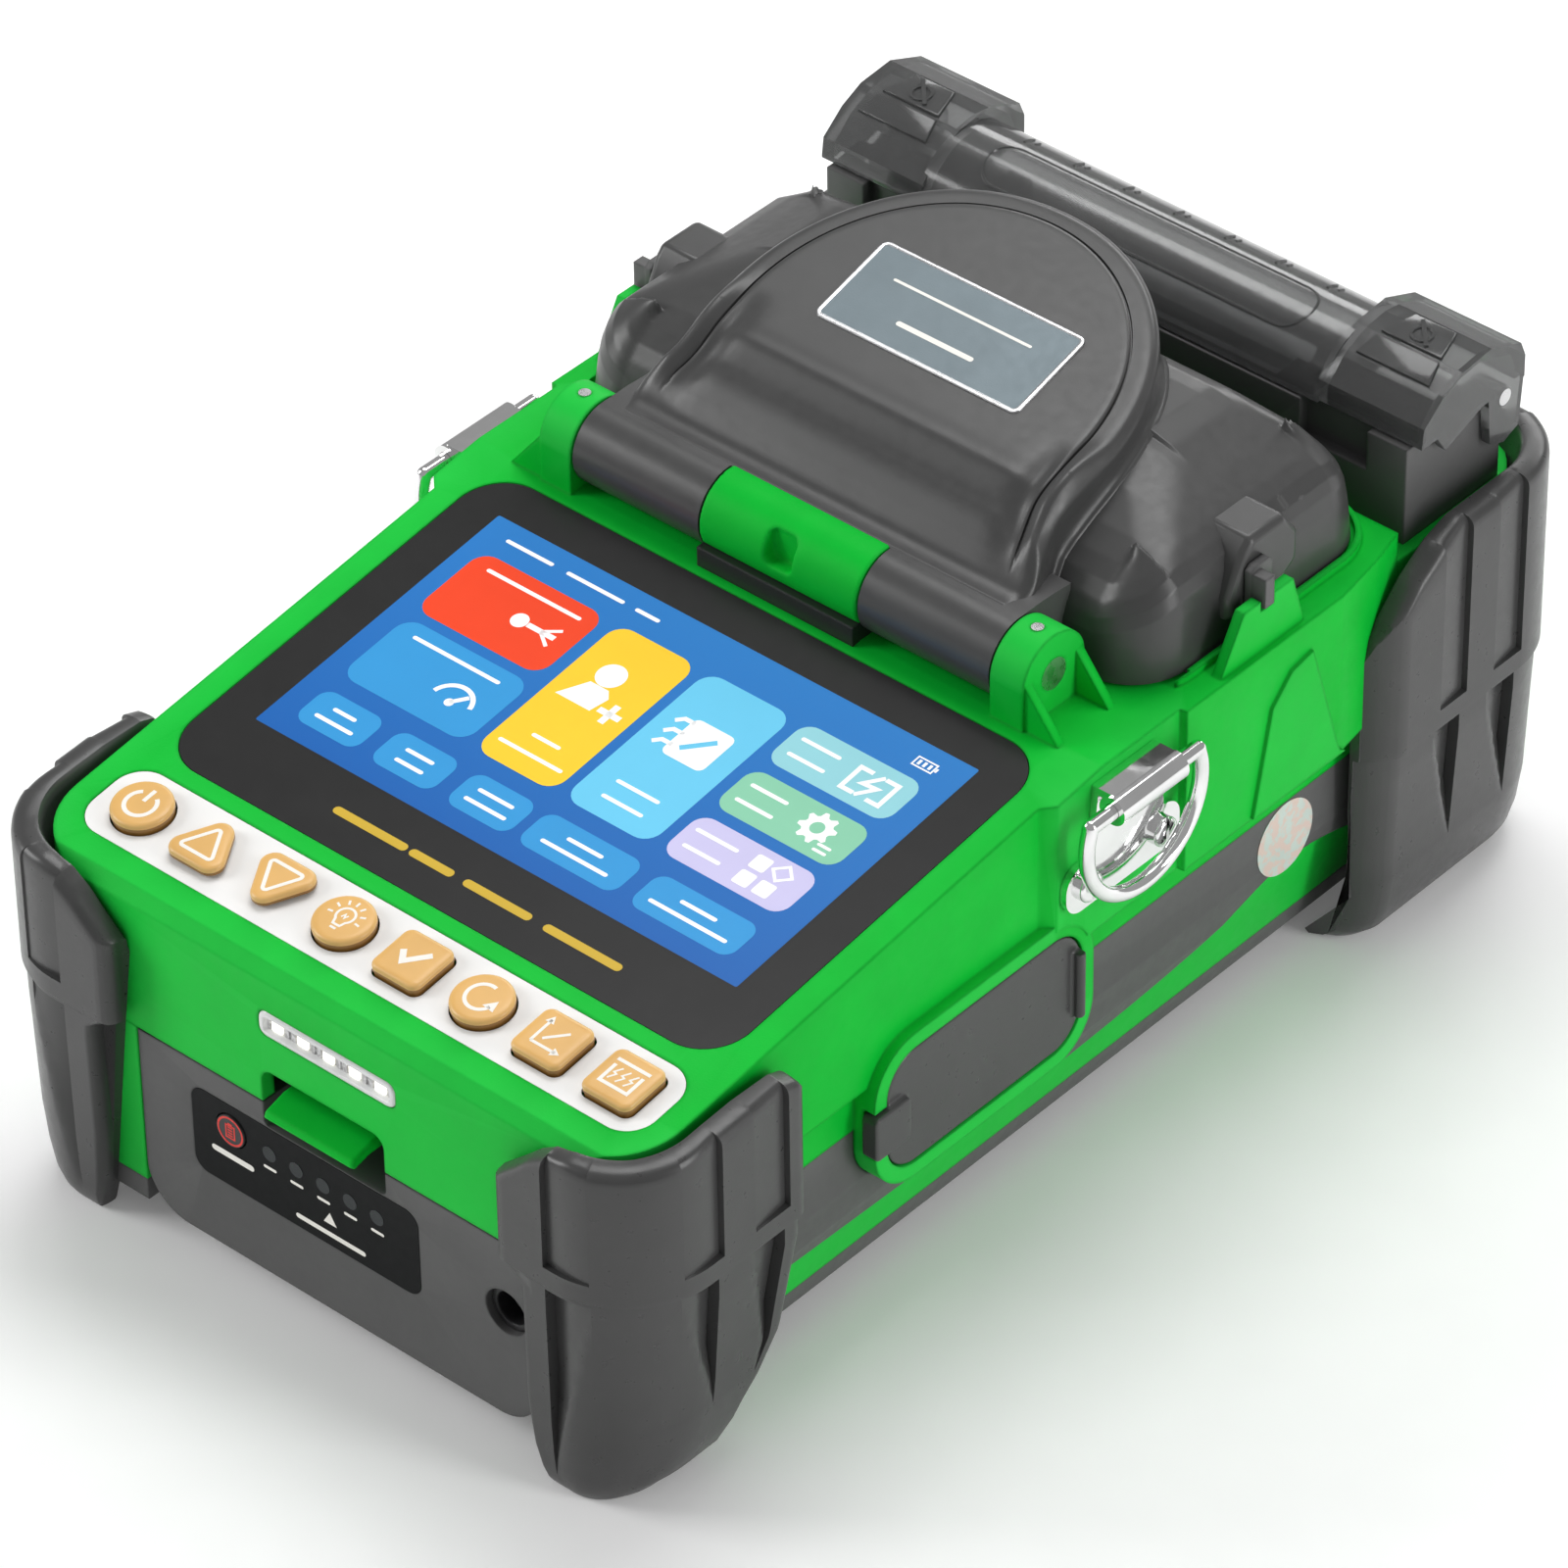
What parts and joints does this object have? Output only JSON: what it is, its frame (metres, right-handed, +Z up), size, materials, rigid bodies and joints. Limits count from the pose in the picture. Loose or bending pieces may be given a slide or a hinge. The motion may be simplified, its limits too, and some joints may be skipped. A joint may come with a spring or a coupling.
{
  "type": "fiber fusion splicer",
  "caption": "Handheld fusion splicer: tilted display and keypad, hinged wind cover over the splice stage, tube heater, rubber corner bumpers, removable battery.",
  "frame": {"origin": "middle of the footprint, on the surface the splicer stands on", "axes": "+X to the operator's right, +Y to the rear (the heater end), +Z up"},
  "size_m": [0.1368, 0.218, 0.111],
  "materials": {
    "green_plastic": "fine matte texture",
    "grey_plastic": "satin",
    "bumper_rubber": "matte",
    "black_plastic": "satin",
    "screen_glass": "gloss",
    "lcd": "lit panel",
    "white_plastic": "semi gloss",
    "key_plastic": "satin",
    "board": "satin solder mask",
    "label": "semi gloss",
    "nameplate": "satin, bright bevel",
    "steel": "machined",
    "chrome": "polished",
    "aluminium": "satin anodised",
    "smoked_clear": "smoked clear",
    "clear_plastic": "frosted clear",
    "ceramic": "glazed",
    "cell_wrap": "shrink wrap",
    "sticker": "paper label"
  },
  "bodies": {
    "housing": {"upper_housing": "green_plastic", "lower_housing": "green_plastic", "side_panels": "grey_plastic", "base_plate": "grey_plastic", "bumper_front_left": "bumper_rubber", "bumper_front_right": "bumper_rubber", "bumper_rear_left": "bumper_rubber", "bumper_rear_right": "bumper_rubber", "bumper_screws": "steel", "display_glass": "screen_glass", "lcd_module": "lcd", "key_panel": "white_plastic", "keypad_board": "board", "light_bar_lens": "clear_plastic", "light_bar_leds": "board", "cover_hinge_pin": "steel", "hinge_centre_knuckle": "green_plastic", "hinge_cradle": "black_plastic", "hinge_set_screws": "steel", "heater_base": "grey_plastic", "heater_trough": "aluminium", "heater_tube_holders": "black_plastic", "heater_hinge_pins": "steel", "d_ring_plates": "chrome", "d_ring_screws": "chrome", "optical_ports": "chrome", "seal_sticker": "sticker", "splice_base": "aluminium", "electrode_holders": "aluminium", "electrodes": "steel", "v_groove_blocks": "ceramic", "microscopes": "aluminium", "drive_motors": "steel", "main_board": "board"},
    "wind_cover": {"wind_cover": "grey_plastic", "nameplate": "nameplate", "cover_clips": "grey_plastic", "cover_lamp_bar": "white_plastic"},
    "heater_lid": {"heater_lid": "smoked_clear"},
    "battery": {"battery_case": "grey_plastic", "battery_cells": "cell_wrap", "battery_label": "label", "dc_inlet": "steel"},
    "check_button": {"battery_check_button": "black_plastic"},
    "battery_latch": {"battery_latch": "green_plastic"},
    "d_ring_left": {"d_ring_left": "chrome"},
    "d_ring_right": {"d_ring_right": "chrome"},
    "port_cover": {"port_cover": "bumper_rubber"},
    "feed_stage_left": {"feed_stage_left": "steel"},
    "feed_stage_right": {"feed_stage_right": "steel"},
    "sheath_clamp_left": {"sheath_clamp_left": "black_plastic"},
    "sheath_clamp_right": {"sheath_clamp_right": "black_plastic"},
    "key_power": {"key_power": "key_plastic"},
    "key_up": {"key_up": "key_plastic"},
    "key_down": {"key_down": "key_plastic"},
    "key_lamp": {"key_lamp": "key_plastic"},
    "key_enter": {"key_enter": "key_plastic"},
    "key_reset": {"key_reset": "key_plastic"},
    "key_xy": {"key_xy": "key_plastic"},
    "key_heater": {"key_heater": "key_plastic"}
  },
  "joints": [
    {"name": "wind_cover_hinge", "type": "hinge", "parent": "housing", "child": "wind_cover", "pos_m": [0, 0.0032, 0.0836], "axis": [1, 0, 0], "range_deg": [0, 95]},
    {"name": "heater_lid_hinge", "type": "hinge", "parent": "housing", "child": "heater_lid", "pos_m": [0, 0.095, 0.088], "axis": [-1, 0, 0], "range_deg": [0, 85]},
    {"name": "battery_slide", "type": "slide", "parent": "housing", "child": "battery", "axis": [0, -1, 0], "range_m": [0, 0.095]},
    {"name": "check_button_press", "type": "slide", "parent": "battery", "child": "check_button", "axis": [0, 1, 0], "range_m": [0, 0.0006], "stiffness_N_per_m": 300},
    {"name": "battery_latch_lift", "type": "slide", "parent": "housing", "child": "battery_latch", "axis": [0, 0, 1], "range_m": [0, 0.002], "stiffness_N_per_m": 400},
    {"name": "d_ring_left_swing", "type": "hinge", "parent": "housing", "child": "d_ring_left", "pos_m": [-0.066, 0.002, 0.0726], "axis": [0, 1, 0], "range_deg": [0, 150]},
    {"name": "d_ring_right_swing", "type": "hinge", "parent": "housing", "child": "d_ring_right", "pos_m": [0.066, 0.002, 0.0726], "axis": [0, -1, 0], "range_deg": [0, 150]},
    {"name": "port_cover_swing", "type": "hinge", "parent": "housing", "child": "port_cover", "pos_m": [0.0622, -0.0077, 0.0395], "axis": [0, 0, 1], "range_deg": [0, 100]},
    {"name": "feed_left_slide", "type": "slide", "parent": "housing", "child": "feed_stage_left", "axis": [1, 0, 0], "range_m": [0, 0.0015]},
    {"name": "feed_right_slide", "type": "slide", "parent": "housing", "child": "feed_stage_right", "axis": [-1, 0, 0], "range_m": [0, 0.0015]},
    {"name": "clamp_left_lift", "type": "hinge", "parent": "feed_stage_left", "child": "sheath_clamp_left", "pos_m": [-0.028, 0.0495, 0.0804], "axis": [-1, 0, 0], "range_deg": [0, 60]},
    {"name": "clamp_right_lift", "type": "hinge", "parent": "feed_stage_right", "child": "sheath_clamp_right", "pos_m": [0.028, 0.0495, 0.0804], "axis": [-1, 0, 0], "range_deg": [0, 60]},
    {"name": "key_power_press", "type": "slide", "parent": "housing", "child": "key_power", "axis": [0, 0.1317, -0.9913], "range_m": [0, 0.0004], "stiffness_N_per_m": 400},
    {"name": "key_up_press", "type": "slide", "parent": "housing", "child": "key_up", "axis": [0, 0.1317, -0.9913], "range_m": [0, 0.0004], "stiffness_N_per_m": 400},
    {"name": "key_down_press", "type": "slide", "parent": "housing", "child": "key_down", "axis": [0, 0.1317, -0.9913], "range_m": [0, 0.0004], "stiffness_N_per_m": 400},
    {"name": "key_lamp_press", "type": "slide", "parent": "housing", "child": "key_lamp", "axis": [0, 0.1317, -0.9913], "range_m": [0, 0.0004], "stiffness_N_per_m": 400},
    {"name": "key_enter_press", "type": "slide", "parent": "housing", "child": "key_enter", "axis": [0, 0.1317, -0.9913], "range_m": [0, 0.0004], "stiffness_N_per_m": 400},
    {"name": "key_reset_press", "type": "slide", "parent": "housing", "child": "key_reset", "axis": [0, 0.1317, -0.9913], "range_m": [0, 0.0004], "stiffness_N_per_m": 400},
    {"name": "key_xy_press", "type": "slide", "parent": "housing", "child": "key_xy", "axis": [0, 0.1317, -0.9913], "range_m": [0, 0.0004], "stiffness_N_per_m": 400},
    {"name": "key_heater_press", "type": "slide", "parent": "housing", "child": "key_heater", "axis": [0, 0.1317, -0.9913], "range_m": [0, 0.0004], "stiffness_N_per_m": 400}
  ]
}
